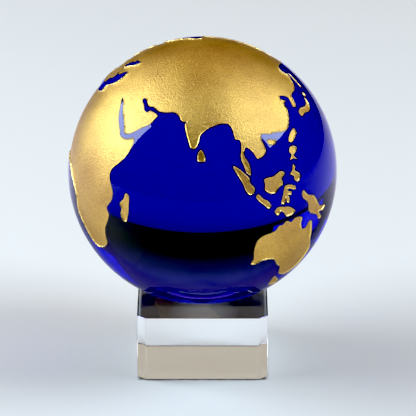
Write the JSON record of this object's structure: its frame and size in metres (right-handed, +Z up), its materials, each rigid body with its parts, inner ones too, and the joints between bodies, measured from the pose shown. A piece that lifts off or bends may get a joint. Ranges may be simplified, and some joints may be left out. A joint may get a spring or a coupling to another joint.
{
  "type": "decorative sphere",
  "caption": "Solid blue crystal ball etched with a gilded map of the world, resting in the shallow seat of a clear square crystal stand with cut corners.",
  "frame": {"origin": "middle of the stand's underside", "axes": "+Z up through the ball's middle, the stand's front face towards -Y"},
  "size_m": [0.08, 0.08, 0.0991],
  "materials": {
    "blue_crystal": "polished deep blue crystal, with the etched land gilded in fine-grained satin gold",
    "clear_crystal": "polished clear crystal"
  },
  "bodies": {
    "root": {"crystal_ball": "blue_crystal", "crystal_stand": "clear_crystal"}
  },
  "joints": []
}
